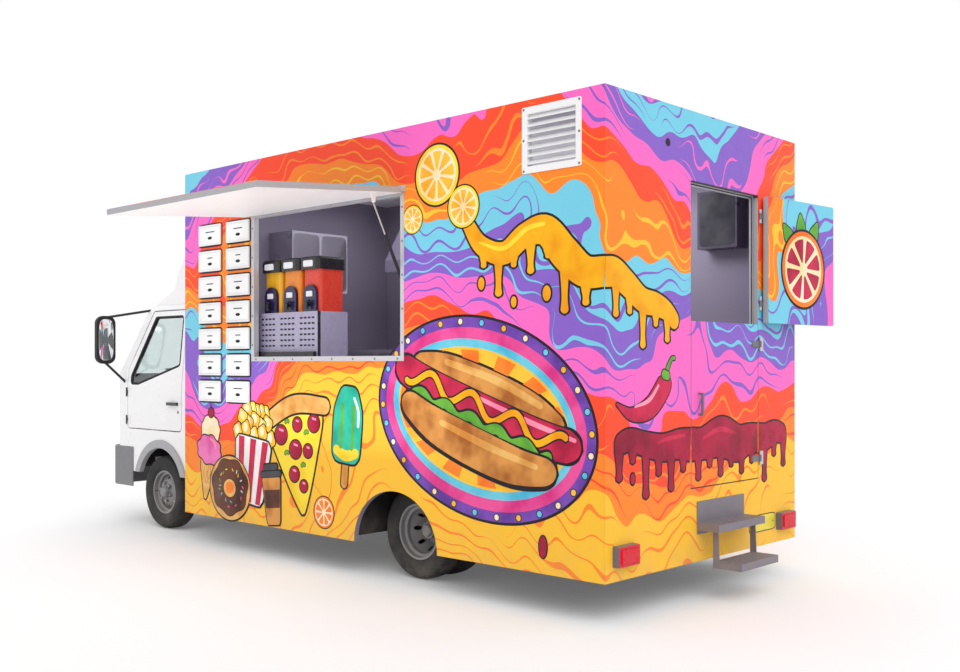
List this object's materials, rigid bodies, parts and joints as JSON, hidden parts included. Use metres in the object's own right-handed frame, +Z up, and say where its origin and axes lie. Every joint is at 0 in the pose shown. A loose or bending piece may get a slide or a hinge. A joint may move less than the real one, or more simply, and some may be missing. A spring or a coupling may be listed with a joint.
{
  "type": "food truck",
  "caption": "Small cab-over food truck: box body with a top-hinged serving hatch, split rear door, steps, twin rear wheels and a kitchen inside.",
  "frame": {"origin": "on the ground, below the middle of the whole truck with its hatch and upper rear leaf open", "axes": "+Y forward, +X to the right of the vehicle, +Z up"},
  "size_m": [3.6814, 6.105, 2.9649],
  "materials": {
    "livery_panel": "gloss printed wrap on sandwich panel",
    "livery_left": "gloss printed wrap on sandwich panel",
    "white_panel": "gloss white sandwich panel",
    "alloy_trim": "satin extruded aluminium",
    "white_trim": "white powder coat",
    "cab_white": "gloss white paint",
    "bumper_grey": "textured grey moulding",
    "flare_grey": "textured light grey moulding",
    "black_plastic": "matt black moulding",
    "glass_clear": "clear safety glass",
    "lamp_glass": "clear lamp lens",
    "lamp_housing": "grey lamp housing",
    "step_steel": "grey paint with tread plate",
    "tyre": "black rubber",
    "wheel_steel": "dark grey wheel paint",
    "chassis_black": "satin black chassis paint",
    "cast_grey": "cast",
    "stainless": "brushed stainless steel",
    "dark_cabinet": "dark grey paint",
    "seat_cloth": "woven seat cloth",
    "slush_body": "lilac grey moulding",
    "chrome_rod": "chromed rod"
  },
  "bodies": {
    "vehicle": {"left_wall": "livery_left", "right_wall": "livery_panel", "rear_wall": "livery_panel", "front_wall": "livery_panel", "roof_panel": "white_panel", "floor_pan": "dark_cabinet", "hatch_frame": "alloy_trim", "hatch_hinge": "alloy_trim", "side_vent": "white_trim", "menu_cards": "white_trim", "door_frame": "alloy_trim", "door_hinges": "alloy_trim", "rear_steps": "step_steel", "tail_lamps": "lamp_housing", "service_counter": "stainless", "kitchen_units": "stainless", "extraction_hood": "stainless", "slush_machine": "slush_body", "cab_shell": "cab_white", "windscreen": "glass_clear", "roof_deflector": "cab_white", "front_bumper": "bumper_grey", "front_grille": "black_plastic", "head_lamps": "lamp_glass", "wheel_flares": "flare_grey", "mirrors": "black_plastic", "dashboard": "black_plastic", "steering_wheel": "black_plastic", "seats": "seat_cloth", "chassis_frame": "chassis_black", "leaf_springs": "chassis_black", "rear_axle": "cast_grey", "front_axle": "chassis_black", "engine_block": "cast_grey", "propeller_shaft": "chassis_black", "fuel_tank": "chassis_black", "silencer": "cast_grey"},
    "hatch": {"hatch_flap": "white_panel"},
    "stay_lower": {"stay_barrel": "black_plastic"},
    "stay_upper": {"stay_rod": "chrome_rod"},
    "door_upper": {"rear_door_upper": "livery_panel"},
    "door_lower": {"rear_door_lower": "livery_panel"},
    "cab_door_l": {"cab_door_left": "cab_white", "door_glass_left": "glass_clear"},
    "cab_door_r": {"cab_door_right": "cab_white", "door_glass_right": "glass_clear"},
    "steer_l": {"knuckle_left": "cast_grey"},
    "steer_r": {"knuckle_right": "cast_grey"},
    "wheel_fl": {"front_tyre_left": "tyre", "front_rim_left": "wheel_steel"},
    "wheel_fr": {"front_tyre_right": "tyre", "front_rim_right": "wheel_steel"},
    "wheels_rl": {"rear_tyres_left": "tyre", "rear_rims_left": "wheel_steel"},
    "wheels_rr": {"rear_tyres_right": "tyre", "rear_rims_right": "wheel_steel"}
  },
  "joints": [
    {"name": "hatch_lift", "type": "hinge", "parent": "vehicle", "child": "hatch", "pos_m": [-0.71515, -0.3375, 2.556], "axis": [0, 1, 0], "range_deg": [-85, 0]},
    {"name": "stay_swing", "type": "hinge", "parent": "vehicle", "child": "stay_lower", "pos_m": [-0.66515, -1.1245, 2], "axis": [0, 1, 0], "range_deg": [-0.5, 31.13]},
    {"name": "stay_slide", "type": "slide", "parent": "stay_lower", "child": "stay_upper", "axis": [-0.4604, 0, 0.8877], "range_m": [-0.1736, 0.002]},
    {"name": "rear_upper_swing", "type": "hinge", "parent": "vehicle", "child": "door_upper", "pos_m": [1.01485, -2.7875, 2.1], "axis": [0, 0, 1], "range_deg": [-175, 0]},
    {"name": "rear_lower_swing", "type": "hinge", "parent": "vehicle", "child": "door_lower", "pos_m": [1.01485, -2.7875, 1.2], "axis": [0, 0, 1], "range_deg": [0, 175]},
    {"name": "cab_left_swing", "type": "hinge", "parent": "vehicle", "child": "cab_door_l", "pos_m": [-0.47615, 2.7385, 1.3], "axis": [0, 0, -1], "range_deg": [0, 62]},
    {"name": "cab_right_swing", "type": "hinge", "parent": "vehicle", "child": "cab_door_r", "pos_m": [1.30585, 2.7385, 1.3], "axis": [0, 0, 1], "range_deg": [0, 62]},
    {"name": "steer_left", "type": "hinge", "parent": "vehicle", "child": "steer_l", "pos_m": [-0.22515, 2.1425, 0.317], "axis": [0, 0, 1], "range_deg": [-32, 32]},
    {"name": "steer_right", "type": "hinge", "parent": "vehicle", "child": "steer_r", "pos_m": [1.05485, 2.1425, 0.317], "axis": [0, 0, 1], "range_deg": [-32, 32]},
    {"name": "roll_front_left", "type": "hinge", "parent": "steer_l", "child": "wheel_fl", "pos_m": [-0.37615, 2.1425, 0.317], "axis": [1, 0, 0], "continuous": true},
    {"name": "roll_front_right", "type": "hinge", "parent": "steer_r", "child": "wheel_fr", "pos_m": [1.20585, 2.1425, 0.317], "axis": [1, 0, 0], "continuous": true},
    {"name": "roll_rear_left", "type": "hinge", "parent": "vehicle", "child": "wheels_rl", "pos_m": [-0.29215, -1.0775, 0.317], "axis": [1, 0, 0], "continuous": true},
    {"name": "roll_rear_right", "type": "hinge", "parent": "vehicle", "child": "wheels_rr", "pos_m": [1.12185, -1.0775, 0.317], "axis": [1, 0, 0], "continuous": true}
  ],
  "couplings": [
    {"joint": "stay_swing", "follows": "hatch_lift", "ratio": -0.36031},
    {"joint": "stay_slide", "follows": "hatch_lift", "m_per_rad": 0.11565},
    {"joint": "steer_right", "follows": "steer_left", "ratio": 1}
  ]
}
